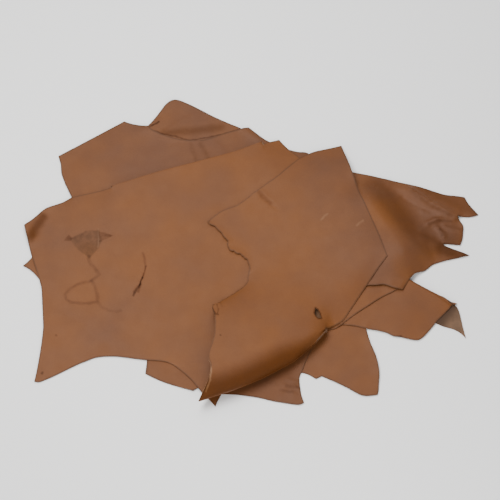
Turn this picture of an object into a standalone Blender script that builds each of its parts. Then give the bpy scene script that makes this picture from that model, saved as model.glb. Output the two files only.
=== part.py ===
# A whole leather hide lying in a loose, irregular heap: one sheet, folded back and forth on itself.
# Six parts of the sheet lie with the grain side up. Narrower returns, grain side down, lie between
# them and join them at the folds. Metres, +Z up, underside of the heap at z = 0.
import math

import bmesh
import bpy
import numpy as np
from mathutils import Vector
from mathutils.geometry import delaunay_2d_cdt

CM = 0.01
THICKNESS = 0.0024         # leather
GAP = 0.0046               # air between two layers that lie on each other
SPAN = THICKNESS + GAP     # centre to centre of two such layers
EDGE_STEP = 0.030          # spacing of the points along every outline
CELL = 0.010               # cell of the grid in which the heights are worked out
TIGHT_STEPS = 4            # facets round a pressed fold
LOOSE_STEPS = 10           # facets round an open roll
LEATHER = (0.32, 0.15, 0.075, 1.0)

# Fold lines in plan, in centimetres: x to the right, y to the far side. Each is shared by two layers.
ROLL = [(-13.5, -49.5), (-3.5, -46.8), (6, -43.4), (16, -38.6), (25, -32)]
TOP_TUCK = [(3, -16), (24, -4)]
RIDGE = [(-48, 23.5), (-33, 29), (-19.5, 33), (-5.5, 37.5), (4, 41.5)]
RIDGE_TUCK = [(-45, 11.5), (-30, 17), (-16.5, 21), (-2.5, 25.5), (7, 29.5)]
BACK_FOLD = [(26, 22), (6, 22)]
BACK_TUCK = [(26, 32), (6, 32)]
HUMP = [(40, 18), (52, -4)]
NECK_TUCK = [(28.5, 12), (40.5, -10)]
FLANK_FOLD = [(48, -17), (48, -29)]
FLANK_TUCK = [(30, -15), (30, -27)]
CUFF = [(48, -10), (67.5, -22.5)]

# Outlines in plan, in centimetres. Where another layer lies on top, the hidden edge is plain.
BASE = [
    (-35, 50), (-32, 54), (-30, 58), (-27.5, 60), (-25, 60), (-17, 55.5), (-15, 54), (-5.5, 49),
    (-3.5, 48.5), (0, 44), (4, 37), *reversed(BACK_TUCK), (32, 24), (38, 8), (42, -8), *FLANK_FOLD,
    (41, -29), (38.5, -30.5), (39, -33), (40, -37), (42, -41.5), (43, -48), (42.5, -51), (42.5, -54.5),
    (42, -56), (39.5, -56.5), (37, -56.5), (35, -55.5), (31.5, -53), (26.5, -50.5), (23.5, -49),
    (21.5, -50), (17.5, -47), (10, -48), (-8, -51), (-17.5, -53), (-19.5, -54.5), (-29.5, -51.5),
    (-35.5, -48), (-35, -43), (-40, -38), (-60, -36), (-66, -22), (-73, -9), (-77.5, -6.5),
    (-74.5, -4), (-66, 12), (-58, 28), (-46, 40), (-38, 46),
]
UNDER_FLANK = [*FLANK_FOLD, *reversed(FLANK_TUCK)]
CUFF_FLAP = [
    *CUFF, (70, -24), (71, -30), (72, -34.5), (70.5, -32.5), (68, -31), (64.5, -30), (61.5, -28.5),
    (55, -25), (51, -18),
]
FLANK = [
    *CUFF, (62, -28.5), (61.5, -29.5), (58, -34), (56, -35.5), (53, -35), (49.5, -34), (47.5, -34),
    (45.5, -32.5), (41.5, -31.5), (38.5, -31), (35, -30), (30.5, -29.5), *reversed(FLANK_TUCK), (36, -9),
]
UNDER_BACK = [*BACK_TUCK, *reversed(BACK_FOLD)]
BACK = [
    (-62.5, 22.5), (-64, 26), (-65.5, 30.5), (-65.5, 33.5), (-66.5, 37), (-44, 51), (-42, 50),
    (-37.5, 49), (-35.5, 49), (-35, 47.5), (-30.5, 45), (-25.5, 43.5), (-20.5, 42.5), (-17, 43),
    (-13.5, 44), (-9.5, 46), (-4.5, 47.5), (-1, 48.5), (4.5, 43.5), (12.5, 39.5), (16, 38.5),
    (19, 38.5), (22, 36), (26, 30), *BACK_FOLD, *reversed(RIDGE_TUCK), (-58, 12),
]
UNDER_MAIN = [*RIDGE, *reversed(RIDGE_TUCK)]
MAIN = [
    (-62, 20), *RIDGE, (9.5, 43.5), (13, 39), (17, 35.5), (17, 28), (10, 16), (5, 4), *TOP_TUCK,
    (29, 8), *HUMP, (52, -11), (51, -15.5), (48, -17.5), (44, -19.5), (38.5, -23.5), (35, -26),
    (30.5, -29.5), (27.5, -31.5), (25.5, -31.5), (22.5, -35.5), (20, -39.5), (18, -44), (17, -47),
    (16, -49), (16, -51), (16.5, -56), (17.5, -59), (16, -60), (7.5, -58.5), (2, -57), (-5, -56),
    (-10, -56), (-11.5, -59), (-12, -60.5), (-14.5, -57.5), (-16, -56), (-20.5, -50), (-24.5, -46),
    (-28, -43.5), (-35, -43), (-45, -41.5), (-49.5, -41.5), (-52.5, -42), (-58, -44.5), (-66, -49),
    (-71, -51.5), (-72.5, -51), (-71.5, -45), (-70.5, -37), (-70, -30.5), (-71, -15), (-72.5, -9.5),
    (-74.5, -3.5), (-76.5, 4.5), (-77.5, 9), (-73.5, 13), (-70.5, 16), (-68, 17), (-64, 18.5),
]
UNDER_NECK = [*HUMP, *reversed(NECK_TUCK)]
NECK = [
    (34.5, 30.5), (41, 29), (48, 27), (58, 24.5), (66, 21.5), (71, 21), (73, 20.5), (74, 18), (77.5, 13.5),
    (75, 12.5), (70.5, 12.7), (70.5, 12), (72.5, 9), (72, 6.5), (72, 4), (71, 1.5), (65.5, 2),
    (65.5, 1.3), (69.5, -0.5), (74, -2.5), (70, -3.5), (66, -4.5), (61.5, -6), (59, -8.5),
    (55.5, -10), (53.5, -12.5), (51, -17), (48, -16.5), (44.5, -15), (42.5, -15.5), (37, -15.5),
    *reversed(NECK_TUCK), (30, 22),
]
UNDER_TOP = [*ROLL, (26, -20), *reversed(TOP_TUCK), (-6, -26), (-10, -38)]
TOP = [
    (16.5, 35.5), (19, 37), (22, 38.5), (27.5, 40), (31, 41), (33.5, 32.5), (36.5, 21.5), (40, 12),
    (43, 4), (46, -5.5), (42.5, -10), (38, -17), (31, -28.5), *reversed(ROLL), (-13.5, -48.5),
    (-14.5, -46.5), (-14, -42), (-13, -36.5), (-12, -26.5), (-13, -22.5), (-11, -21), (-4.5, -16),
    (-1.5, -13), (-1.5, -10), (-0.5, -8), (-1.5, -4.5), (-4.5, -2.5), (-7.5, -1), (-8, 3), (-11, 7),
    (-15, 10), (-13, 12.5), (-8.5, 15), (-5, 17), (2, 22), (8.5, 27),
]

# Raised creases. layer, plan points of the ridge, height, half width; all in centimetres
CREASES = [
    ("neck", [(54, 23.5), (61.5, 18), (70.5, 13.5)], 1.3, 2.0),
    ("neck", [(59, 8), (64, 11.5), (70, 9.5)], 1.0, 1.5),
    ("neck", [(63, 6.5), (70, 5)], 0.8, 1.2),
    ("neck", [(58, 3.5), (64, 0.5), (72, -2)], 1.2, 1.6),
    ("main", [(-70, 16), (-76, 5)], 1.3, 2.6),
    ("main", [(8, -55), (16, -56.5)], 0.6, 1.4),
]

# The layers from the floor up.
# name, outline, droop: how sharply it bends down off an edge (1/m), rounds of smoothing that take the
# edge off its bends, spacing of inner points (m)
LAYERS = [
    ("base", BASE, 2.0, 30, 0.080),
    ("under_flank", UNDER_FLANK, 2.0, 30, 0.040),
    ("cuff_flap", CUFF_FLAP, 2.0, 30, 0.030),
    ("flank", FLANK, 3.0, 30, 0.030),
    ("under_back", UNDER_BACK, 2.0, 30, 0.040),
    ("back", BACK, 2.0, 30, 0.040),
    ("under_main", UNDER_MAIN, 2.0, 30, 0.040),
    ("main", MAIN, 1.4, 30, 0.041),
    ("under_neck", UNDER_NECK, 2.0, 30, 0.030),
    ("neck", NECK, 6.5, 30, 0.026),
    ("under_top", UNDER_TOP, 1.5, 30, 0.036),
    ("top", TOP, 0.5, 140, 0.034),
]

# Folds. line, lower layer, upper layer, facets, then height and reach at the line's start and end in
# centimetres. The height is that between the two layers. The reach is how far the fold bulges out
# past its line, as x and y, and its underside lies on what is below. A pressed fold has None: it is
# as high as the layers lie apart, and half as deep.
FOLDS = [
    (FLANK_FOLD, "base", "under_flank", TIGHT_STEPS, None),
    (FLANK_TUCK, "under_flank", "flank", TIGHT_STEPS, None),
    (CUFF, "cuff_flap", "flank", LOOSE_STEPS, ((1.2, (0.3, 0.6)), (2.2, (1.8, 0.8)))),
    (BACK_TUCK, "base", "under_back", TIGHT_STEPS, None),
    (BACK_FOLD, "under_back", "back", TIGHT_STEPS, None),
    (RIDGE_TUCK, "back", "under_main", TIGHT_STEPS, None),
    (RIDGE, "under_main", "main", TIGHT_STEPS, None),
    (HUMP, "main", "under_neck", LOOSE_STEPS, ((3.6, (1.4, 0.8)), (3.6, (1.4, 0.8)))),
    (NECK_TUCK, "under_neck", "neck", TIGHT_STEPS, None),
    (TOP_TUCK, "main", "under_top", TIGHT_STEPS, None),
    (ROLL, "under_top", "top", LOOSE_STEPS, ((6.5, (-4.2, -11.0)), (0.9, (0.3, -0.9)))),
]
ROLL_SWELL = 0.42          # power by which an open roll narrows towards its tight end
ROLL_FLAT = 0.7            # power that flattens the underside of an open roll; 1 is an ellipse


def clear_scene():
    for item in list(bpy.data.objects):
        bpy.data.objects.remove(item, do_unlink=True)


def divided(points, closed):
    """Points of a line in metres, with no step longer than EDGE_STEP."""
    points = [Vector(p) * CM for p in points]
    ends = points[1:] + points[:1] if closed else points[1:]
    result = []
    for a, b in zip(points, ends):
        count = math.ceil((b - a).length / EDGE_STEP)
        result += [a.lerp(b, i / count) for i in range(count)]
    if not closed:
        result.append(points[-1])
    return np.array(result)


def is_inside(outline, points):
    """Which of the points lie inside the closed outline."""
    inside = np.zeros(len(points), bool)
    px, py = points[:, 0], points[:, 1]
    for (ax, ay), (bx, by) in zip(outline, np.roll(outline, -1, axis=0)):
        if ay != by:
            crosses = (ay > py) != (by > py)
            inside ^= crosses & (px < ax + (bx - ax) * (py - ay) / (by - ay))
    return inside


def inner_points(outline, spacing):
    """A triangular grid of points inside the outline, clear of its edge."""
    low, high = outline.min(axis=0), outline.max(axis=0)
    row_step = spacing * math.sqrt(3) / 2
    rows = np.arange(low[1], high[1], row_step)
    grid = [
        (x, y)
        for row, y in enumerate(rows)
        for x in np.arange(low[0] + (row % 2) * spacing / 2, high[0], spacing)
    ]
    grid = np.array(grid)
    grid = grid[is_inside(outline, grid)]
    distance = np.linalg.norm(grid[:, None] - outline[None], axis=2).min(axis=1)
    return grid[distance > 0.62 * spacing]


def flat_mesh(outline, spacing):
    """Plan points and triangles that fill an outline."""
    edge = divided(outline, closed=True)
    points = [Vector(p) for p in np.vstack([edge, inner_points(edge, spacing)])]
    filled = delaunay_2d_cdt(points, [], [list(range(len(edge)))], 1, 1e-6)
    return np.array(filled[0]), filled[2]


class HeightGrid:
    """Heights over the plan, in square cells."""

    def __init__(self, low, high):
        self.low = low
        self.shape = tuple(np.ceil((high - low) / CELL).astype(int) + 1)
        self.top = np.full(self.shape, THICKNESS / 2 - SPAN)

    def read(self, heights, plan):
        """Heights at plan points, read between the cells."""
        at = (plan - self.low) / CELL
        cell = np.clip(np.floor(at).astype(int), 0, np.array(self.shape) - 2)
        u, v = (at - cell).T
        i, j = cell.T
        near = heights[i, j] * (1 - u) + heights[i + 1, j] * u
        far = heights[i, j + 1] * (1 - u) + heights[i + 1, j + 1] * u
        return near * (1 - v) + far * v

    def cover(self, plan, faces, z):
        """Raise the grid to a layer that now lies on it."""
        for face in faces:
            a, b, c = (plan[k] for k in face)
            first = np.floor((np.minimum(np.minimum(a, b), c) - self.low) / CELL).astype(int)
            last = np.ceil((np.maximum(np.maximum(a, b), c) - self.low) / CELL).astype(int)
            for i in range(first[0], last[0] + 1):
                for j in range(first[1], last[1] + 1):
                    x, y = self.low + CELL * np.array((i, j))
                    area = (b[0] - a[0]) * (c[1] - a[1]) - (b[1] - a[1]) * (c[0] - a[0])
                    wb = ((x - a[0]) * (c[1] - a[1]) - (y - a[1]) * (c[0] - a[0])) / area
                    wc = ((b[0] - a[0]) * (y - a[1]) - (b[1] - a[1]) * (x - a[0])) / area
                    if min(wb, wc, 1 - wb - wc) > -0.15:
                        height = z[face[0]] * (1 - wb - wc) + z[face[1]] * wb + z[face[2]] * wc
                        self.top[i, j] = max(self.top[i, j], height)

    def draped(self, held, droop, rounds):
        """The lowest surface that clears what is below and bends down no sharper than droop."""
        surface = held
        for axis in (0, 1):
            lines = np.moveaxis(surface, axis, 0)
            place = np.arange(len(lines)) * CELL
            falls = droop * (place[:, None] - place[None]) ** 2
            lines = np.stack([(lines - fall[:, None]).max(axis=0) for fall in falls])
            surface = np.moveaxis(lines, 0, axis)
        for _ in range(rounds):
            wide = np.pad(surface, 1, mode="edge")
            sides = wide[2:, 1:-1] + wide[:-2, 1:-1] + wide[1:-1, 2:] + wide[1:-1, :-2]
            surface = np.maximum((surface * 4 + sides) / 8, held)
        return surface


def fold_line(line, loose):
    """Points of a fold line, with the height and the reach there; both None for a pressed fold."""
    points = divided(line, closed=False)
    if loose is None:
        return points, None, None
    (height_0, reach_0), (height_1, reach_1) = loose
    steps = np.linalg.norm(np.diff(points, axis=0), axis=1)
    along = np.minimum(np.concatenate([[0], np.cumsum(steps)]) / steps.sum(), 1)
    wide = ((1 - along) ** ROLL_SWELL)[:, None]
    heights = (height_1 + (height_0 - height_1) * wide[:, 0]) * CM
    reach = (np.array(reach_1) + (np.array(reach_0) - np.array(reach_1)) * wide) * CM
    return points, heights, reach


def nearest(plan, points):
    """The index of the plan point at each of the given points."""
    return np.linalg.norm(plan[None] - points[:, None], axis=2).argmin(axis=1)


def outward(points, plan):
    """Unit vectors across a fold line, on the side away from the layer."""
    along = np.gradient(points, axis=0)
    across = np.stack([along[:, 1], -along[:, 0]], axis=1)
    across /= np.linalg.norm(across, axis=1)[:, None]
    middle = points[len(points) // 2]
    near = plan[np.linalg.norm(plan - middle, axis=1) < 0.06].mean(axis=0) - middle
    return -across if across.mean(axis=0) @ near > 0 else across


def crease_rise(name, plan):
    """How far the creases of a layer lift its plan points."""
    rise = np.zeros(len(plan))
    for layer, ridge, height, half_width in CREASES:
        if layer == name:
            away = np.full(len(plan), np.inf)
            ridge = np.array(ridge) * CM
            for a, b in zip(ridge, ridge[1:]):
                along = np.clip((plan - a) @ (b - a) / ((b - a) @ (b - a)), 0, 1)
                away = np.minimum(away, np.linalg.norm(plan - a - along[:, None] * (b - a), axis=1))
            rise = np.maximum(rise, height * CM * np.exp(-(away / (half_width * CM)) ** 2))
    return rise


def drape_layers():
    """Every layer's plan points, triangles and heights, worked out from the floor up."""
    outlines = np.vstack([np.array(outline) * CM for _, outline, *_ in LAYERS])
    grid = HeightGrid(outlines.min(axis=0) - 0.05, outlines.max(axis=0) + 0.05)
    layers = {}
    for name, outline, droop, rounds, spacing in LAYERS:
        plan, faces = flat_mesh(outline, spacing)
        held = grid.top + SPAN
        for line, lower, upper, _, loose in FOLDS:
            if upper == name and loose:
                points, heights, _ = fold_line(line, loose)
                lower_plan, _, lower_z, _ = layers[lower]
                floor = lower_z[nearest(lower_plan, points)]
                cells = np.round((points - grid.low) / CELL).astype(int)
                for (i, j), z in zip(cells, floor + heights):
                    held[i, j] = max(held[i, j], z)
        surface = grid.draped(held, droop, rounds)
        z = grid.read(surface, plan) + crease_rise(name, plan)
        grid.cover(plan, faces, z)
        layers[name] = (plan, faces, z, surface)
    return layers, grid


def bend(start, end, out, steps, bed):
    """The places round a fold from one layer's edge to the other's."""
    places = []
    for k in range(1, steps):
        turn = math.pi * k / steps
        power = ROLL_FLAT if bed and turn < math.pi / 2 else 1
        across = math.sin(turn) ** power
        rise = (1 - math.copysign(abs(math.cos(turn)) ** power, math.cos(turn))) / 2
        x = start.x + out[0] * across ** (2 if bed else 1)   # the ends of a roll are cut aslant
        y = start.y + out[1] * across
        low = bed(x, y) if bed else start.z
        places.append((x, y, low + (end.z - low) * rise))
    return places


def build_sheet(layers, grid):
    """One open surface: the layers, joined round their folds."""
    mesh = bmesh.new()
    corners = {}
    for name, (plan, faces, z, _) in layers.items():
        corners[name] = [mesh.verts.new((x, y, h)) for (x, y), h in zip(plan, z)]
        for face in faces:
            mesh.faces.new([corners[name][k] for k in face])
    for line, lower, upper, steps, loose in FOLDS:
        points, _, reach = fold_line(line, loose)
        lower_ends = [corners[lower][k] for k in nearest(layers[lower][0], points)]
        upper_ends = [corners[upper][k] for k in nearest(layers[upper][0], points)]
        if reach is None:
            rise = np.array([b.co.z - a.co.z for a, b in zip(lower_ends, upper_ends)])
            reach = outward(points, layers[upper][0]) * rise[:, None] / 2
            bed = None
        else:
            surface = layers[lower][3]
            bed = lambda x, y: float(grid.read(surface, np.array([[x, y]]))[0])
        rows = []
        for a, b, out in zip(lower_ends, upper_ends, reach):
            places = bend(a.co, b.co, out, steps, bed)
            rows.append([a, *(mesh.verts.new(place) for place in places), b])
        for row, after in zip(rows, rows[1:]):
            for k in range(steps):
                mesh.faces.new((row[k], row[k + 1], after[k + 1], after[k]))
    bmesh.ops.recalc_face_normals(mesh, faces=mesh.faces)
    mesh.verts.ensure_lookup_table()
    top = corners["top"][-1]
    if sum(face.normal.z for face in top.link_faces) < 0:
        bmesh.ops.reverse_faces(mesh, faces=mesh.faces)
    return mesh


def leather_material():
    material = bpy.data.materials.new("tan_leather")
    material.use_nodes = True
    shader = material.node_tree.nodes["Principled BSDF"]
    shader.inputs["Base Color"].default_value = LEATHER
    shader.inputs["Roughness"].default_value = 0.55
    shader.inputs["Metallic"].default_value = 0.0
    return material


def main():
    clear_scene()
    sheet = build_sheet(*drape_layers())
    low = np.array([v.co for v in sheet.verts]).min(axis=0)
    high = np.array([v.co for v in sheet.verts]).max(axis=0)
    middle = (low + high) / 2
    bmesh.ops.translate(sheet, vec=(-middle[0], -middle[1], 0), verts=sheet.verts)
    data = bpy.data.meshes.new("hide")
    sheet.to_mesh(data)
    sheet.free()
    data.shade_smooth()
    hide = bpy.data.objects.new("hide", data)
    data.materials.append(leather_material())
    group = bpy.data.collections.new("leather_hide")
    bpy.context.scene.collection.children.link(group)
    group.objects.link(hide)
    shell = hide.modifiers.new("thickness", "SOLIDIFY")
    shell.thickness = THICKNESS
    shell.offset = 0
    shell.use_even_offset = True
    shell.use_quality_normals = True


main()
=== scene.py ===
# A tan leather hide lying in a loose, irregular heap, folded back and forth on itself.
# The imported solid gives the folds. This script makes the leather from it: a fine sheet whose free
# edges lie down on what is below, with soft creases, a torn side, a hole, a grain side, a flesh
# side and a cut edge.
import math

import bmesh
import bpy
import numpy as np
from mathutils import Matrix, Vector, noise
from mathutils.bvhtree import BVHTree
from mathutils.kdtree import KDTree


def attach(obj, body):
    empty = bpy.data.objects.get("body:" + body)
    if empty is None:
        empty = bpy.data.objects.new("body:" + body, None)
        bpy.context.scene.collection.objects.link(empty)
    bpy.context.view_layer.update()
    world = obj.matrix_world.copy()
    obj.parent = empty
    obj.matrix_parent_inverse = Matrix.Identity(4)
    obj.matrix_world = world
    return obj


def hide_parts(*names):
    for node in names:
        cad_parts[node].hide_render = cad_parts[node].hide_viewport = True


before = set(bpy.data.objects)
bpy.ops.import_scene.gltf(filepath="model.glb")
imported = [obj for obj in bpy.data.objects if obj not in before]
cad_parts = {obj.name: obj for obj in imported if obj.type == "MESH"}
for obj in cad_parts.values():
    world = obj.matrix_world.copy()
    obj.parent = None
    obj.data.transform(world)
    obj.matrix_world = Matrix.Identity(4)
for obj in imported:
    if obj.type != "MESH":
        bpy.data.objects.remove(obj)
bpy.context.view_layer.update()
mm = 0.001
print("frame loaded")

# The sheet. All places are in plan, in millimetres: x to the right, y to the far side.
sheet = {
    "thickness": 2.4,
    "weld": 0.01,             # points nearer than this become one
    "level": 0.9,             # how far up the face looks from which the grain side is followed
    "growAngle": 65,          # degrees; it's followed over bends up to this
    "cornerAngle": 50,        # degrees; sharper turns of the outline stay sharp
    "openUp": 0.05,           # how far up a face looks to count as open to the sky
    "partReach": 35,          # how near its place a part is looked for
    "wholly": 0.99,           # share of a part from which a point is altogether in it
    "waveHeight": 3.0,        # slow swells of the whole heap
    "waveLength": 210,
    "rippleHeight": 0.8,
    "rippleLength": 62,
    "raySkip": 0.8,           # how far off the leather the air is measured from
    "clearUnder": 0.3,        # air that is always left below and above
    "clearOver": 1.0,
    "leastLift": 0.1,         # smaller creases aren't made
    "openAir": 500,           # air above an edge that nothing covers
    "restSlope": 0.4,         # free edges that look less far up than this stay
    "restGap": (0.3, 1.6),    # air left under a free edge, least and most
    "restLength": 90,         # how fast that air changes along an edge
    "restFall": 20,           # most that an edge is let down
    "restEven": 12,           # rounds of smoothing along an edge
    "restSteps": 500,         # rounds that carry the fall inwards
    "restFade": 0.002,        # how fast it dies away from the edge inwards
    "restPast": 14,           # how many points past a fold feel it
    "stiff": (24, 42),        # air over which an edge begins to stand clear by itself
    "pressed": [(240, -300, 90, 24), (370, -140, 70, 10)],  # x, y, reach: goes down so much more
    "drawn": [                # x, y, reach, then how far and which side: rounds the flank's end
        (697, -200, 24, -15, -6, 0),
        (680, -219, 20, 15, 8, -1),
    ],
    "drawnPast": 2.5,         # how many reaches away nothing moves any more
    "drawnTurn": (1.5, 0.2),  # how fast one side's share grows with its slope, and from where
    "panels": {               # a place where each part lies open to the sky, lowest part first
        "base": (380, -480),
        "flank": (500, -280),
        "back": (-450, 350),
        "main": (-300, 0),
        "neck": (620, 40),
        "top": (100, 50),
    },
}

creases = [                   # part, height (a trough where negative), width, line
    # down the neck and its torn tongues
    ("neck", 7, 11, [(545, 232), (614, 178), (660, 150), (702, 126)]),
    ("neck", -3, 10, [(520, 205), (575, 170), (640, 128), (700, 112)]),
    ("neck", 6, 9, [(600, 100), (625, 114), (648, 120), (690, 116)]),
    ("neck", -3, 6, [(612, 88), (640, 96), (672, 92)]),
    ("neck", 5, 8, [(632, 84), (648, 66), (655, 48)]),
    ("neck", 5, 9, [(655, 92), (682, 78), (712, 72)]),
    ("neck", 3, 8, [(585, 150), (622, 140), (668, 132)]),
    ("neck", 2.5, 14, [(470, 265), (540, 215), (588, 160)]),
    ("neck", 5, 16, [(386, -158), (425, -152), (471, -156), (505, -172)]),
    # dents of the top part, then its torn side curling up
    ("top", -2.6, 5, [(23, 213), (44, 187), (65, 169), (88, 146)]),
    ("top", 1.4, 7, [(33, 219), (54, 193), (75, 175)]),
    ("top", 3.5, 12, [(-150, 95), (-125, 84), (-104, 58), (-80, 26)]),
    ("top", 3, 10, [(-75, -7), (-58, -11), (-37, -26), (-12, -50), (-8, -85)]),
    # small folds at the near point of the main part, then its curled left corner
    ("main", 4, 7, [(92, -541), (118, -541), (140, -552)]),
    ("main", 4.5, 6, [(108, -524), (136, -524), (160, -538)]),
    ("main", 3, 7, [(120, -505), (150, -510)]),
    ("main", 9, 22, [(-776, 97), (-757, 40)]),
    ("main", -3, 14, [(-722, 120), (-733, 60)]),
    # soft pleats at the far side
    ("back", 3, 14, [(-365, 481), (-311, 458), (-212, 430), (-124, 450)]),
    ("back", 3, 14, [(-214, 420), (-200, 385), (-186, 345)]),
    ("back", 2.6, 12, [(-172, 418), (-156, 385), (-145, 356)]),
    ("back", 2.4, 18, [(-120, 415), (-90, 372)]),
    ("back", 4, 12, [(-30, 482), (0, 455), (30, 432)]),
    ("base", 6, 12, [(-352, 482), (-304, 470), (-257, 466), (-205, 470)]),
    ("base", 6, 7, [(-350, 487), (-322, 512)]),
    ("base", 3, 16, [(400, -330), (415, -400), (428, -500)]),
]

tear = {                      # the torn left side of the top part
    "line": [
        (11, 212), (-51, 165), (-99, 146), (-128, 125), (-144, 108), (-151, 96), (-139, 90),
        (-125, 85), (-104, 58), (-80, 26), (-81, 7), (-75, -7), (-65, -12), (-58, -11), (-51, -21),
        (-44, -27), (-37, -26), (-18, -43), (-6, -77), (-8, -88), (-13, -112), (-14, -133),
        (-27, -150), (-49, -168), (-104, -214), (-135, -240), (-123, -288), (-123, -358),
        (-139, -434),
    ],
    "reach": 15,              # how far from the line an edge is drawn to it
    "spread": 26,             # how far in that is felt
    "tipFade": 30,            # over what length it begins and ends
    "ragged": 1.3,            # size of the small teeth
    "raggedLength": 11,
    "roughAt": (-60, -10, 75, 5),  # x, y, reach: teeth so much larger there
}

hole = {
    "rim": [
        (215, -247), (223, -253), (228, -265), (234, -283), (225, -286), (217, -280), (212, -269),
    ],
    "fine": 20,               # how far round it the faces are made finer
}

# How dull and brown each part is against the bright orange-brown, from 0 to 1, and the places
# where that changes softly: part, x, y, reach, change. Partly its own tone, partly painted light:
# duller where flat parts show sheen, more orange on the lit side of the neck's hump.
coolParts = {"base": 0.4, "flank": 0.3, "back": 0.85, "main": 0.2, "neck": 0.45, "top": 0.15}
coolSpots = [
    ("main", -20, -500, 190, 0.35), ("main", 100, -520, 150, 0.4), ("main", -700, 0, 120, 0.35),
    ("main", -560, 180, 220, 0.25), ("main", -150, 280, 200, 0.15), ("main", -430, -60, 200, -0.1),
    ("main", -480, -330, 160, 0.3), ("top", 400, -20, 190, 0.5), ("top", 300, 290, 170, 0.6),
    ("top", 150, 0, 200, -0.1), ("top", -60, -300, 120, 0.1), ("base", -180, 500, 200, 0.4),
    ("neck", 400, 130, 90, -0.5), ("neck", 640, 110, 120, 0.45), ("neck", 440, -90, 80, 0.3),
    ("flank", 560, -230, 120, 0.2), ("back", -560, 200, 180, -0.45),
]


def lineDistance(points, line):
    # distance in plan from each point to a line through the given places, and the nearest spot
    nearest = np.full(len(points), np.inf)
    spots = np.zeros((len(points), 2))
    line = np.array(line, float) * mm
    for start, end in zip(line, line[1:]):
        run = end - start
        along = np.clip((points - start) @ run / (run @ run), 0, 1)
        spot = start + along[:, None] * run
        away = np.linalg.norm(points - spot, axis=1)
        closer = away < nearest
        nearest[closer], spots[closer] = away[closer], spot[closer]
    return nearest, spots


def closeness(points, x, y, reach):
    # 1 at a place in plan, dying away over the reach
    away = np.linalg.norm(points - np.array((x, y)) * mm, axis=-1) / (reach * mm)
    return np.exp(-(away**2))


def isInside(corners, place):
    inside = False
    for (ax, ay), (bx, by) in zip(corners, corners[1:] + corners[:1]):
        if (ay > place[1]) != (by > place[1]):
            inside ^= place[0] < ax + (bx - ax) * (place[1] - ay) / (by - ay)
    return inside


def grainSide(solid):
    # the faces of the grain side alone, from the highest one outwards, as an open sheet
    work = bmesh.new()
    work.from_mesh(solid.data)
    bmesh.ops.remove_doubles(work, verts=work.verts, dist=sheet["weld"] * mm)
    bmesh.ops.dissolve_degenerate(work, edges=work.edges, dist=sheet["weld"] * mm)
    level = [face for face in work.faces if face.normal.z > sheet["level"]]
    start = max(level, key=lambda face: face.calc_center_median().z)
    limit = math.radians(sheet["growAngle"])
    kept, front = {start}, [start]
    while front:
        face = front.pop()
        for edge in face.edges:
            for other in edge.link_faces:
                if other not in kept and face.normal.angle(other.normal, math.pi) < limit:
                    kept.add(other)
                    front.append(other)
    bmesh.ops.delete(work, geom=[face for face in work.faces if face not in kept], context="FACES")
    return work


def openFaces(work):
    # groups of faces that look up and hang together; folds part them
    groups, done = [], set()
    for first in work.faces:
        if first in done or first.normal.z <= sheet["openUp"]:
            continue
        group, front = {first}, [first]
        while front:
            for edge in front.pop().edges:
                for other in edge.link_faces:
                    if other not in group and other.normal.z > sheet["openUp"]:
                        group.add(other)
                        front.append(other)
        done |= group
        groups.append(group)
    return groups


def markParts(work):
    # one float attribute for each part of the sheet that shows
    groups = openFaces(work)
    for part, place in sheet["panels"].items():
        spot = Vector(place) * mm
        best = None
        for group in groups:
            for face in group:
                centre = face.calc_center_median()
                near = (centre.xy - spot).length < sheet["partReach"] * mm
                if near and (best is None or centre.z > best[0]):
                    best = (centre.z, group)
        layer = work.verts.layers.float.new(part)
        for vert in work.verts:
            vert[layer] = 1.0 if any(face in best[1] for face in vert.link_faces) else 0.0


def partVerts(work, part):
    layer = work.verts.layers.float[part]
    return [vert for vert in work.verts if vert[layer] > 0.5]


def keepCorners(work):
    # sharp turns of the outline keep their points under subdivision
    crease = work.verts.layers.float.new("crease_vert")
    limit = math.radians(sheet["cornerAngle"])
    for vert in work.verts:
        rim = [edge for edge in vert.link_edges if edge.is_boundary]
        if len(rim) == 2:
            toFirst, toSecond = (edge.other_vert(vert).co - vert.co for edge in rim)
            if math.pi - toFirst.angle(toSecond) > limit:
                vert[crease] = 1.0


def plainWaves(places, length, seed):
    # slow noise between 0 and 1, the same for all that lies one above the other
    shift = Vector((seed * 3.1, seed * 1.7, seed * 0.9))  # each seed is another region of noise
    scale = 1 / (length * mm)
    values = [noise.noise(Vector((x * scale, y * scale, 0)) + shift) for x, y in places]
    return np.clip(np.array(values) * 0.9 + 0.5, 0, 1)


def readVerts(data):
    flat = np.empty(len(data.vertices) * 3)
    data.vertices.foreach_get("co", flat)
    return flat.reshape(-1, 3)


def readPart(data, part):
    values = np.empty(len(data.vertices))
    data.attributes[part].data.foreach_get("value", values)
    return values


def subdivide(piece, levels):
    bpy.ops.object.select_all(action="DESELECT")
    piece.select_set(True)
    bpy.context.view_layer.objects.active = piece
    step = piece.modifiers.new("finer", "SUBSURF")
    step.levels = step.render_levels = levels
    bpy.ops.object.modifier_apply(modifier=step.name)


def editMesh(data, *changes):
    work = bmesh.new()
    work.from_mesh(data)
    for change in changes:
        change(work)
    work.to_mesh(data)
    work.free()


def refine(work, line, reach, part):
    # three times as many faces of one part along a line
    near = partVerts(work, part)
    away, _ = lineDistance(np.array([vert.co.xy for vert in near]), line)
    close = {vert for vert, distance in zip(near, away) if distance < reach * mm}
    edges = [edge for edge in work.edges if edge.verts[0] in close and edge.verts[1] in close]
    bmesh.ops.subdivide_edges(work, edges=edges, cuts=2, use_grid_fill=True)


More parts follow.
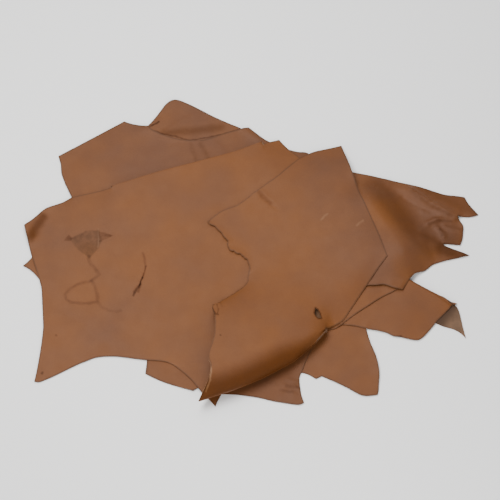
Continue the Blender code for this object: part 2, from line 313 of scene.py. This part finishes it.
def cutHole(work):
    rim = hole["rim"] + hole["rim"][:1]
    refine(work, rim, hole["fine"], "top")
    corners = [(x * mm, y * mm) for x, y in hole["rim"]]
    mine = set(partVerts(work, "top"))
    gone = [
        face
        for face in work.faces
        if face.verts[0] in mine and isInside(corners, face.calc_center_median())
    ]
    around = {vert for face in gone for vert in face.verts}
    bmesh.ops.delete(work, geom=gone, context="FACES")
    left = [vert for vert in around if vert.is_valid and vert.is_boundary]
    _, spots = lineDistance(np.array([vert.co.xy for vert in left]), rim)
    for vert, spot in zip(left, spots):
        vert.co.xy = spot


def tearEdge(work):
    # draw the edge to the torn line, with small teeth, and take what lies just inside along
    near = partVerts(work, "top")
    plan = np.array([vert.co.xy for vert in near])
    away, spots = lineDistance(plan, tear["line"])
    tips = np.array([tear["line"][0], tear["line"][-1]]) * mm
    *rough, more = tear["roughAt"]
    tree, pulls = KDTree(len(near)), {}
    for k, vert in enumerate(near):
        if vert.is_boundary and away[k] < tear["reach"] * mm:
            spot = Vector((*spots[k], 0)) / (tear["raggedLength"] * mm)
            across = spot + Vector((0, 0, 7.3))  # far enough up to be another noise
            teeth = Vector((noise.noise(spot), noise.noise(across)))
            teeth *= tear["ragged"] * mm * (1 + more * closeness(spots[k], *rough))
            toTip = min(np.linalg.norm(tips - spots[k], axis=1))
            held = min(1, toTip / (tear["tipFade"] * mm))
            pulls[k] = (Vector(spots[k] - plan[k]) + teeth) * held
            tree.insert(Vector((*plan[k], 0)), k)
    tree.balance()
    for k, vert in enumerate(near):
        if away[k] < (tear["reach"] + tear["spread"]) * mm:
            _, rim, distance = tree.find(Vector((*plan[k], 0)))
            vert.co.xy += pulls[rim] * max(0, 1 - distance / (tear["spread"] * mm))


def drawCorner(work):
    # small moves in plan of both sides of a fold, or of its lower side alone
    work.normal_update()
    steep, start = sheet["drawnTurn"]
    for x, y, reach, right, far, side in sheet["drawn"]:
        for vert in work.verts:
            away = (vert.co.xy - Vector((x, y)) * mm).length / (reach * mm)
            if away < sheet["drawnPast"]:
                share = min(1, max(0, vert.normal.z * side * steep - start)) if side else 1
                vert.co.xy += Vector((right, far)) * mm * share * math.exp(-(away**2))


def rimPoints(faces):
    # points on edges that only one face has
    count = {}
    for face in faces:
        for pair in zip(face, face[1:] + face[:1]):
            pair = tuple(sorted(pair))
            count[pair] = count.get(pair, 0) + 1
    return list({k for pair, uses in count.items() if uses == 1 for k in pair})


def airAt(verts, normals, chosen, tree, side):
    # clear air over (1) or under (-1) each chosen point, less the thickness of the leather
    thick, skip = sheet["thickness"] * mm, sheet["raySkip"] * mm
    air = np.ones(len(verts))  # a metre where nothing is met
    for k in np.flatnonzero(chosen):
        start = Vector(verts[k]) + Vector((0, 0, side * skip))
        spot, normal, _, distance = tree.ray_cast(start, (0, 0, side))
        if spot:
            air[k] = distance + skip - (thick if normal.z * side > 0 else 0)
        elif side < 0:
            air[k] = verts[k][2]
    return np.maximum(air - thick * (normals[:, 2] * side < 0), 0)


def spread(values, pairs):
    # each value averaged with its neighbours'
    total, count = values.copy(), np.ones(len(values))
    for here, there in (pairs.T, pairs.T[::-1]):
        total += np.bincount(here, values[there], len(values))
        count += np.bincount(here, minlength=len(values))
    return total / count


def settle(verts, normals, faces, pairs, mine, rim):
    # let the free edges of one part lie down on what is below; gives the way to the free edge too
    tree = BVHTree.FromPolygons(verts.tolist(), faces)
    wide = mine.copy()
    for _ in range(sheet["restPast"]):
        wide[pairs[wide[pairs].any(axis=1)]] = True
    below = airAt(verts, normals, wide, tree, -1)
    free = np.flatnonzero(mine & rim & (normals[:, 2] > sheet["restSlope"]))
    free = free[airAt(verts, normals, mine & rim, tree, 1)[free] > sheet["openAir"] * mm]
    least, most = sheet["restGap"]
    rest = (least + (most - least) * plainWaves(verts[free, :2], sheet["restLength"], 3) ** 2) * mm
    more = np.zeros(len(free))
    for x, y, reach, extra in sheet["pressed"]:
        more += extra * mm * closeness(verts[free, :2], x, y, reach)
    low, high = (limit * mm for limit in sheet["stiff"])
    air = below[free]
    fall = np.zeros(len(verts))
    fall[free] = np.clip(air - rest, 0, sheet["restFall"] * mm + more)
    fall[free] *= np.clip((high + more - air) / (high - low), 0, 1)
    along = pairs[np.isin(pairs, free).all(axis=1)]
    for _ in range(sheet["restEven"]):
        fall = spread(fall, along)
    limit = np.maximum(below - sheet["clearUnder"] * mm, 0) * wide
    fall = np.minimum(fall, limit)
    near = pairs[wide[pairs].any(axis=1)]
    drop = np.zeros(len(verts))
    for _ in range(sheet["restSteps"]):
        drop[free] = fall[free]
        drop = np.minimum(spread(drop, near) * (1 - sheet["restFade"]), limit)
    edge = KDTree(len(free))
    for k in free:
        edge.insert(verts[k], k)
    edge.balance()
    away = np.ones(len(verts))
    for k in np.flatnonzero(mine):
        away[k] = edge.find(verts[k])[2]
    verts[:, 2] -= drop
    return away


def makeCreases(data, verts, normals, faces):
    # soft ridges and troughs, within the air above and below
    shows = sum(readPart(data, part) for part in sheet["panels"]) > sheet["wholly"]
    tree = BVHTree.FromPolygons(verts.tolist(), faces)
    lift = np.zeros(len(verts))
    for part, height, width, line in creases:
        distance, _ = lineDistance(verts[:, :2], line)
        lift += height * mm * np.exp(-((distance / (width * mm)) ** 2)) * readPart(data, part)
    moved = shows & (abs(lift) > sheet["leastLift"] * mm)
    under = airAt(verts, normals, moved, tree, -1) - sheet["clearUnder"] * mm
    over = airAt(verts, normals, moved, tree, 1) - sheet["clearOver"] * mm
    verts[:, 2] += np.clip(lift, -np.maximum(under, 0), np.maximum(over, 0))


def shapeSheet(piece):
    data = piece.data
    verts = readVerts(data)
    plan = verts[:, :2].copy()
    normals = np.array([vert.normal for vert in data.vertices])
    faces = [tuple(face.vertices) for face in data.polygons]
    pairs = np.empty(len(data.edges) * 2, int)
    data.edges.foreach_get("vertices", pairs)
    pairs = pairs.reshape(-1, 2)
    rim = np.zeros(len(verts), bool)
    rim[rimPoints(faces)] = True
    edge = np.ones(len(verts))
    for part in sheet["panels"]:
        mine = readPart(data, part) > sheet["wholly"]
        edge = np.minimum(edge, settle(verts, normals, faces, pairs, mine, rim))
    makeCreases(data, verts, normals, faces)
    waves = plainWaves(plan, sheet["waveLength"], 1) * sheet["waveHeight"]
    waves += plainWaves(plan, sheet["rippleLength"], 2) * sheet["rippleHeight"]
    verts[:, 2] += waves * mm
    data.vertices.foreach_set("co", verts.ravel())
    # dull and bright tones: partly the leather's own, partly painted sheen and light
    cool = sum(share * readPart(data, part) for part, share in coolParts.items())
    for part, x, y, reach, change in coolSpots:
        cool += change * closeness(plan, x, y, reach) * readPart(data, part)
    for name, values in (("edge", edge), ("cool", cool)):
        data.attributes.new(name, "FLOAT", "POINT").data.foreach_set("value", values)
    data.update()


def makeSheet():
    work = grainSide(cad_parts["hide"])
    markParts(work)
    keepCorners(work)
    data = bpy.data.meshes.new("leatherSheet")
    work.to_mesh(data)
    work.free()
    piece = bpy.data.objects.new("leatherSheet", data)
    bpy.context.scene.collection.objects.link(piece)
    subdivide(piece, 2)
    editMesh(data, tearEdge, drawCorner)
    shapeSheet(piece)
    editMesh(data, cutHole)
    print("sheet shaped:", len(piece.data.polygons), "faces")
    return piece


leatherSheet = makeSheet()


# Materials, from here on.
def linear(code):
    # sRGB hex to the linear colour that a shader takes
    parts = [int(code[i : i + 2], 16) / 255 for i in (1, 3, 5)]
    return (*[c / 12.92 if c <= 0.04045 else ((c + 0.055) / 1.055) ** 2.4 for c in parts], 1.0)


def addNode(tree, kind, settings=None, **links):
    # a node with its settings; links go to inputs by name, with _ for a space, or by number
    node = tree.nodes.new("ShaderNode" + kind)
    for key, value in (settings or {}).items():
        if isinstance(key, int) or key in node.inputs:
            node.inputs[key].default_value = value
        else:
            setattr(node, key, value)
    for name, source in links.items():
        key = int(name[1:]) if name[1:].isdigit() else name.replace("_", " ")
        tree.links.new(source, node.inputs[key])
    return node


def vectors(tree, operation, inputs=None, **links):
    # one vector sum; inputs has the fixed ones by number
    settings = {"operation": operation, **(inputs or {})}
    return addNode(tree, "VectorMath", settings, **links).outputs


def maths(tree, operation, first, second=0.0, third=0.0):
    # one sum; each part is a number or another node's output
    node = tree.nodes.new("ShaderNodeMath")
    node.operation = operation
    for slot, value in enumerate((first, second, third)):
        if isinstance(value, (int, float)):
            node.inputs[slot].default_value = value
        else:
            tree.links.new(value, node.inputs[slot])
    return node.outputs[0]


def fade(tree, value, near, far, high=1.0, low=0.0):
    # high up to near, low from far on, softly between
    limits = {"From Min": near, "From Max": far, "To Min": high, "To Max": low}
    settings = {"interpolation_type": "SMOOTHSTEP", **limits}
    return addNode(tree, "MapRange", settings, Value=value).outputs["Result"]


def mixed(tree, share, first, second, blend="MIX"):
    # two colours, each a hex code or another node's output
    settings, links = {"data_type": "RGBA", "blend_type": blend}, {}
    for slot, value in ((0, share), (6, first), (7, second)):
        if isinstance(value, str):
            settings[slot] = linear(value)
        elif isinstance(value, (int, float)):
            settings[slot] = value
        else:
            links[f"_{slot}"] = value
    return addNode(tree, "Mix", settings, **links).outputs[2]


def clouds(tree, place, length, detail=3.0, rough=0.5, seed=0.0):
    # noise with forms of about the given length in millimetres, mostly from 0.3 to 0.7
    settings = {"Scale": 1 / (length * mm), "Detail": detail, "Roughness": rough, "W": seed}
    node = addNode(tree, "TexNoise", {"noise_dimensions": "4D", **settings}, Vector=place)
    return node.outputs["Fac"]


def bump(tree, height, strength, depth, **links):
    # depth in millimetres
    settings = {"Strength": strength, "Distance": depth * mm}
    return addNode(tree, "Bump", settings, Height=height, **links).outputs[0]


def attribute(tree, name):
    return addNode(tree, "Attribute", {"attribute_name": name}).outputs["Fac"]


def inPlan(tree, place):
    return vectors(tree, "MULTIPLY", {1: (1, 1, 0)}, _0=place)[0]


def newMaterial(name):
    material = bpy.data.materials.new(name)
    material.use_nodes = True
    return material, material.node_tree, material.node_tree.nodes["Principled BSDF"]


def lineReach(tree, place, line):
    # distance of the place from a line through the given plan points
    nearest = None
    for start, end in zip(line, line[1:]):
        start, end = (Vector((x * mm, y * mm, 0)) for x, y in (start, end))
        run = end - start
        offset = vectors(tree, "SUBTRACT", {1: start}, _0=place)[0]
        share = vectors(tree, "DOT_PRODUCT", {1: run / run.length_squared}, _0=offset)["Value"]
        held = addNode(tree, "Clamp", Value=share).outputs[0]
        spot = vectors(tree, "SCALE", {0: run}, Scale=held)[0]
        away = vectors(tree, "DISTANCE", _0=offset, _1=spot)["Value"]
        nearest = away if nearest is None else maths(tree, "MINIMUM", nearest, away)
    return nearest


def patchReach(tree, place, corners):
    # how far the place lies outside a bulging patch, below zero within it; corners run clockwise
    furthest = None
    for start, end in zip(corners, corners[1:] + corners[:1]):
        start, end = (Vector((x * mm, y * mm, 0)) for x, y in (start, end))
        out = Vector((start.y - end.y, end.x - start.x, 0)).normalized()
        along = vectors(tree, "DOT_PRODUCT", {1: out}, _0=place)["Value"]
        away = maths(tree, "SUBTRACT", along, out.dot(start))
        furthest = away if furthest is None else maths(tree, "MAXIMUM", furthest, away)
    return furthest


# Marks on the grain side, in plan millimetres. Their tints multiply the leather's colour and so
# only darken it, all but the pale tint, which is laid on as it is.
# Many marks are painted shade and one a painted highlight, as said at each; the rest are real.
dark, rustAndShade, shade = "#7a6942", "#a8925e", "#9e8f5c"
stained, veinAndShade, wearAndHighlight = "#bcc0b6", "#b8a87c", "#a8805f"
dulling = {shade: 0.95, dark: 0.7, rustAndShade: 0.55, stained: 0.25, veinAndShade: 0.25}  # sheen they take away; with shade, part of the painted shade

patches = [                   # part, softness, tint, strength, corners
    ("main", 8, stained, 0.68, [  # the grey-brown stain, then its two horns
        (-612, 38), (-563, 65), (-522, 67), (-513, 33), (-522, 7), (-549, -34), (-585, -1),
    ]),
    ("main", 6, rustAndShade, 0.5, [(-632, 35), (-622, 51), (-611, 40), (-615, 33)]),
    ("main", 6, rustAndShade, 0.42, [(-522, 66), (-478, 48), (-517, 30)]),
]

scar = [
    (-370, -18), (-364, -41), (-360, -64), (-358, -70), (-361, -85), (-369, -116), (-379, -142),
]
lines = [                     # part, half width, softness, tint, strength, line
    # along the stain's edges
    ("main", 0.5, 7, veinAndShade, 0.3, [(-612, 40), (-588, 48), (-563, 66)]),
    ("main", 1.5, 6, rustAndShade, 0.4, [(-496, 50), (-482, 48)]),
    ("main", 0.6, 3.5, wearAndHighlight, 0.09, [(-522, 74), (-521, 36), (-523, 6)]),
    # veins that come down from it, the second in a loop
    ("main", 1.5, 9, veinAndShade, 0.5, [
        (-551, -31), (-551, -44), (-544, -60), (-530, -77), (-515, -100), (-527, -113),
        (-541, -124),
    ]),
    ("main", 1, 9, veinAndShade, 0.5, [
        (-541, -124), (-563, -131), (-593, -140), (-617, -159), (-629, -177), (-626, -196),
        (-612, -206), (-583, -211), (-546, -211), (-521, -206), (-520, -183), (-527, -153),
        (-536, -129),
    ]),
    ("main", 0.5, 9, veinAndShade, 0.32, [
        (-521, -206), (-505, -225), (-484, -238), (-457, -243), (-440, -240),
    ]),
    # the healed scar, with its open end
    ("main", 0.5, 7, veinAndShade, 0.55, scar[:4]),
    ("main", 0.4, 4.5, rustAndShade, 0.85, scar[3:]),
    ("main", 0.9, 5, dark, 0.82, [(-368, -112), (-379, -142), (-391, -166), (-399, -181)]),
    ("main", 0.6, 6, rustAndShade, 0.6, [(-375, -138), (-384, -168)]),
    ("main", 0.3, 6, rustAndShade, 0.5, [(-386, -146), (-397, -168)]),
    # two pricks, and painted shade on the curled left corner
    ("main", 1, 4, dark, 0.6, [(-657, -334), (-655, -336)]),
    ("main", 1, 5, dark, 0.6, [(-699, -478), (-697, -473)]),
    ("main", 2, 25, shade, 0.58, [(-712, 128), (-732, 90), (-753, 43)]),
    # nicks where the torn side turns, a prick, and painted shade in a soft dent
    ("top", 0.5, 4.5, dark, 0.55, [(-135, -240), (-129, -259), (-122, -279), (-111, -282)]),
    ("top", 0.5, 4, dark, 0.45, [(-117, -234), (-111, -256), (-114, -276)]),
    ("top", 0.4, 4, dark, 0.2, [(-106, -222), (-99, -244)]),
    ("top", 1, 4, dark, 0.5, [(-104, -367), (-103, -369)]),
    ("top", 0.5, 11, shade, 0.36, [(26, 214), (44, 189), (64, 170)]),
    # painted highlight on the roll's lip, and painted shade down its slope to the near side
    ("top", 0.6, 4, wearAndHighlight, 0.4, [(-139, -478), (-133, -503), (-136, -540), (-151, -579)]),
    ("top", 8, 75, shade, 0.71, [
        (-173, -595), (-53, -550), (14, -517), (115, -454), (223, -417), (300, -400),
    ]),
    # painted shade along the pleats of the far side, and painted shadow lines where an edge and a
    # small fold lie on the base
    ("base", 1, 26, shade, 0.36, [(-300, 462), (-209, 472), (-107, 488)]),
    ("back", 1, 13, shade, 0.2, [(-209, 414), (-189, 347)]),
    ("back", 1, 13, shade, 0.2, [(-175, 418), (-148, 359)]),
    ("base", 0.8, 4, dark, 0.5, [
        (-365, 485), (-311, 462), (-212, 434), (-124, 454), (-25, 485),
    ]),
    ("base", 0.6, 5, dark, 0.75, [(-369, 483), (-345, 492), (-321, 507)]),
    # painted shade round the hole, and two pale scratches
    ("top", 1, 6, dark, 0.7, hole["rim"] + hole["rim"][:1]),
    ("top", 0.5, 6, wearAndHighlight, 0.14, [(236, 97), (257, 118)]),
    ("top", 0.5, 6, wearAndHighlight, 0.12, [(359, 69), (379, 87)]),
    # painted shade in the creases and on the slopes and tongues of the neck, on the flank's rounded
    # far edge and in a tuck of it
    ("neck", 1, 14, shade, 0.28, [(549, 225), (614, 170), (700, 119)]),
    ("flank", 1, 7, dark, 0.6, [(462, -336), (480, -342), (500, -338)]),
    ("neck", 0.5, 8, rustAndShade, 0.4, [(604, 98), (640, 110), (682, 108)]),
    ("neck", 0.5, 8, rustAndShade, 0.4, [(641, 78), (651, 54)]),
    ("flank", 2, 13, shade, 0.45, [(537, -117), (600, -152), (678, -199)]),
    ("neck", 12, 62, shade, 0.35, [(430, 239), (490, 150), (550, 68), (625, 10), (729, -19)]),
    ("neck", 10, 42, shade, 0.35, [(600, 250), (690, 205), (770, 160)]),
    ("neck", 10, 26, shade, 0.38, [(650, 0), (735, -20)]),
    ("neck", 10, 40, shade, 0.2, [(655, 100), (690, 40)]),
    # the near side: painted shade under the roll, a darker tone left of it, and painted shade in
    # the small folds at the near point
    ("main", 25, 60, veinAndShade, 0.15, [(-60, -560), (60, -545), (140, -530)]),
    ("base", 40, 60, veinAndShade, 0.14, [(-330, -400), (-260, -430)]),
    ("main", 0.5, 9, rustAndShade, 0.35, [(97, -542), (138, -550)]),
    ("main", 0.5, 9, rustAndShade, 0.4, [(117, -526), (158, -534)]),
]

grain = {                     # lengths in millimetres
    "warm": "#6a3d17",        # orange-brown, the brighter tone
    "cool": "#5b371f",        # duller and browner
    "burnishAndShadeColour": "#41260f",   # along cut edges: burnish, and painted contact shade where they lie on what is below
    "burnishAndShadeFade": (0.5, 7, 0.6),     # full up to, gone from, strength
    "marblingLength": 130,    # the large soft clouds
    "marbling": 1.5,          # how strongly they go from warm to cool
    "blotchLength": 38,
    "blotches": 0.45,
    "blotchBump": (0.15, 0.5),    # strength and depth
    "speckLength": 5,
    "specks": (0.92, 1.06),   # how far they darken and brighten
    "poreLength": 1.8,        # real pores are half that, drawn coarser so that they show
    "poreBump": (0.14, 0.4),
    "wanderLength": 22,
    "wander": 9,              # how far marks stray from their drawn lines
    "patchyLength": 14,
    "patchy": (0.6, 1.05),    # how narrow marks weaken and strengthen along their way
    "narrow": 15,             # softness below which they do
    "roughness": (0.58, 0.63),
    "shine": 0.26,
}


def markMasks(tree, place):
    # for each mark where it is, 0 to 1, with its colour
    settings = {"Scale": 1 / (grain["wanderLength"] * mm), "Detail": 2.0}
    stray = addNode(tree, "TexNoise", settings, Vector=place).outputs["Color"]
    stray = vectors(tree, "SUBTRACT", {1: (0.5, 0.5, 0.5)}, _0=stray)[0]
    wander = grain["wander"] * mm
    stray = vectors(tree, "MULTIPLY_ADD", {1: (wander, wander, 0)}, _0=stray, _2=place)[0]
    plan = inPlan(tree, stray)
    patchy = clouds(tree, place, grain["patchyLength"], seed=4.0)
    patchy = fade(tree, patchy, 0.3, 0.65, *grain["patchy"])
    marks = [
        (patchReach(tree, plan, corners), part, 0, soft, tint, strength)
        for part, soft, tint, strength, corners in patches
    ]
    marks += [
        (lineReach(tree, plan, line), part, half, soft, tint, strength)
        for part, half, soft, tint, strength, line in lines
    ]
    for reach, part, half, soft, tint, strength in marks:
        mask = fade(tree, reach, half * mm, (half + soft) * mm, strength)
        mask = maths(tree, "MULTIPLY", mask, attribute(tree, part))
        if soft < grain["narrow"]:
            mask = maths(tree, "MULTIPLY", mask, patchy)
        yield mask, tint


def grainLeather():
    # vegetable-tanned grain side, plated smooth: marbled tan, dull sheen, stains and scratches,
    # with painted shade and a painted highlight among the marks, and painted shade along the edges
    material, tree, shader = newMaterial("tannedGrain")
    place = addNode(tree, "TexCoord").outputs["Object"]
    marbling = clouds(tree, place, grain["marblingLength"], detail=2.0)
    blotches = clouds(tree, place, grain["blotchLength"], rough=0.55, seed=2.0)
    specks = clouds(tree, place, grain["speckLength"], rough=0.7, seed=5.0)
    cool = attribute(tree, "cool")
    for forms, share in ((marbling, grain["marbling"]), (blotches, grain["blotches"])):
        cool = maths(tree, "MULTIPLY_ADD", maths(tree, "SUBTRACT", forms, 0.5), share, cool)
    cool = addNode(tree, "Clamp", Value=cool).outputs[0]
    colour = mixed(tree, cool, grain["warm"], grain["cool"])
    colour = mixed(tree, 1.0, colour, fade(tree, specks, 0.2, 0.8, *grain["specks"]), "MULTIPLY")
    # darker near the cut edges: burnish, partly painted contact shade
    near, far, strength = grain["burnishAndShadeFade"]
    edge = fade(tree, attribute(tree, "edge"), near * mm, far * mm, strength)
    colour = mixed(tree, edge, colour, grain["burnishAndShadeColour"])
    shine = grain["shine"]
    for mask, tint in markMasks(tree, place):
        colour = mixed(tree, mask, colour, tint, "MULTIPLY" if tint != wearAndHighlight else "MIX")
        # under painted shade, taking the sheen away is part of the painted shade
        if tint in dulling:
            kept = maths(tree, "MULTIPLY_ADD", mask, -dulling[tint], 1.0)
            shine = maths(tree, "MULTIPLY", kept, shine)
    settings = {"feature": "SMOOTH_F1", "Scale": 1 / (grain["poreLength"] * mm)}
    pores = addNode(tree, "TexVoronoi", settings, Vector=place).outputs["Distance"]
    fine = bump(tree, pores, *grain["poreBump"])
    soft = bump(tree, blotches, *grain["blotchBump"], Normal=fine)
    tree.links.new(colour, shader.inputs["Base Color"])
    tree.links.new(soft, shader.inputs["Normal"])
    tree.links.new(fade(tree, blotches, 0.3, 0.7, *grain["roughness"]), shader.inputs["Roughness"])
    tree.links.new(shine, shader.inputs["Specular IOR Level"])
    return material


flesh = {                     # lengths in millimetres
    "fibres": ("#6b4e37", "#57412f"),
    "fibreLength": 2.5,
    "fibreBump": (0.4, 0.6),  # strength and depth
    "napLength": 45,
    "nap": (0.8, 1.15),       # how far it darkens and brightens
    "roughness": 0.9,
    "shaded": [               # line, full up to, gone from, strength, colour
        ([(627, -280), (685, -202)], 4, 50, 0.9, "#38220f"),  # painted shade deep in the flank's rolled end
        (hole["rim"][:4], 20, 50, 0.7, "#5a3c22"),  # painted shade on what shows below the hole
    ],
}


def fleshLeather():
    # flesh side: matt, fibrous, greyer, with soft clouds of loose nap, and painted shade in the
    # flank's rolled end and below the hole
    material, tree, shader = newMaterial("fleshSide")
    place = addNode(tree, "TexCoord").outputs["Object"]
    fibres = clouds(tree, place, flesh["fibreLength"], detail=5.0, rough=0.6)
    nap = clouds(tree, place, flesh["napLength"], rough=0.6, seed=3.0)
    colour = mixed(tree, fibres, *flesh["fibres"])
    colour = mixed(tree, 1.0, colour, fade(tree, nap, 0.3, 0.7, *flesh["nap"]), "MULTIPLY")
    plan = inPlan(tree, place)
    for line, near, far, strength, tint in flesh["shaded"]:
        mask = fade(tree, lineReach(tree, plan, line), near * mm, far * mm, strength)
        colour = mixed(tree, mask, colour, tint)
    tree.links.new(colour, shader.inputs["Base Color"])
    tree.links.new(bump(tree, fibres, *flesh["fibreBump"]), shader.inputs["Normal"])
    shader.inputs["Roughness"].default_value = flesh["roughness"]
    return material


cut = {                       # lengths in millimetres
    "fibres": ("#4c2e17", "#6b4628"),
    "fibreLength": 12,
    "lip": [(-139, -480), (-132, -503), (-135, -540), (-151, -579)],  # painted highlight where the roll lifts it
    "lipReach": (15, 40),     # full up to, gone from
    "lipColour": "#9f764b",
    "roughness": 0.85,
}


def edgeLeather():
    # knife-cut edge: raw fibre, rubbed brown, with a painted highlight where the roll lifts it off
    # the rest
    material, tree, shader = newMaterial("cutEdge")
    place = addNode(tree, "TexCoord").outputs["Object"]
    near, far = cut["lipReach"]
    lip = fade(tree, lineReach(tree, inPlan(tree, place), cut["lip"]), near * mm, far * mm)
    colour = mixed(tree, clouds(tree, place, cut["fibreLength"]), *cut["fibres"])
    colour = mixed(tree, lip, colour, cut["lipColour"])
    tree.links.new(colour, shader.inputs["Base Color"])
    shader.inputs["Roughness"].default_value = cut["roughness"]
    return material


def sharpenRim(work):
    # smooth both sides, but keep the corners of the cut edge
    for face in work.faces:
        face.smooth = True
    for edge in work.edges:
        edge.smooth = len({face.material_index for face in edge.link_faces}) == 1


for finish in (grainLeather(), fleshLeather(), edgeLeather()):
    leatherSheet.data.materials.append(finish)
shell = leatherSheet.modifiers.new("thickness", "SOLIDIFY")
shell.thickness = sheet["thickness"] * mm
shell.offset = -1
shell.use_quality_normals = True
shell.material_offset = 1
shell.material_offset_rim = 2
bpy.ops.object.modifier_apply(modifier=shell.name)
editMesh(leatherSheet.data, sharpenRim)
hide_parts("hide")
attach(leatherSheet, "root")
print("leather finished:", len(leatherSheet.data.polygons), "faces")

# Floor, lights and camera, in metres.
studio = {
    "elevation": 60,          # degrees above the floor
    "distance": 14.0,
    "viewWidth": 1.70,        # what the camera sees across at the heap
    "sensor": 36,             # millimetres
    "target": (-0.005, 0.001, 0.0),
    "floor": "#f4f3f1",
    "floorSize": 30,
    "floorDrop": 0.0005,      # keeps the lowest leather clear of it
    "floorRoughness": 0.9,
    "air": "#f2f4f8",
    "airStrength": 0.5,
    "lamps": {                # place, size, watts
        "key": ((-1.0, 0.1, 3.1), 2.4, 112),
        "back": ((-0.2, 1.9, 2.9), 2.6, 60),
        "fill": ((0.5, -2.7, 1.6), 2.6, 62),
    },
}
bpy.ops.mesh.primitive_plane_add(size=studio["floorSize"], location=(0, 0, -studio["floorDrop"]))
floor = bpy.context.object
floor.name = "floor"
material, tree, shader = newMaterial("paleFloor")
shader.inputs["Base Color"].default_value = linear(studio["floor"])
shader.inputs["Roughness"].default_value = studio["floorRoughness"]
floor.data.materials.append(material)

world = bpy.data.worlds.new("studio")
bpy.context.scene.world = world
world.use_nodes = True
background = world.node_tree.nodes["Background"]
background.inputs["Color"].default_value = linear(studio["air"])
background.inputs["Strength"].default_value = studio["airStrength"]

for name, (place, size, power) in studio["lamps"].items():
    lamp = bpy.data.lights.new(name, "AREA")
    lamp.shape = "DISK"
    lamp.size = size
    lamp.energy = power
    holder = bpy.data.objects.new(name, lamp)
    holder.location = place
    holder.rotation_euler = (-Vector(place)).to_track_quat("-Z", "Y").to_euler()
    bpy.context.scene.collection.objects.link(holder)

camera = bpy.data.cameras.new("camera")
camera.sensor_width = studio["sensor"]
camera.lens = studio["sensor"] * studio["distance"] / studio["viewWidth"]
camera.clip_end = 100
viewer = bpy.data.objects.new("camera", camera)
tilt = math.radians(studio["elevation"])
away = Vector((0, -math.cos(tilt), math.sin(tilt)))
viewer.location = Vector(studio["target"]) + away * studio["distance"]
viewer.rotation_euler = (-away).to_track_quat("-Z", "Y").to_euler()
bpy.context.scene.collection.objects.link(viewer)
bpy.context.scene.camera = viewer
print("studio set")
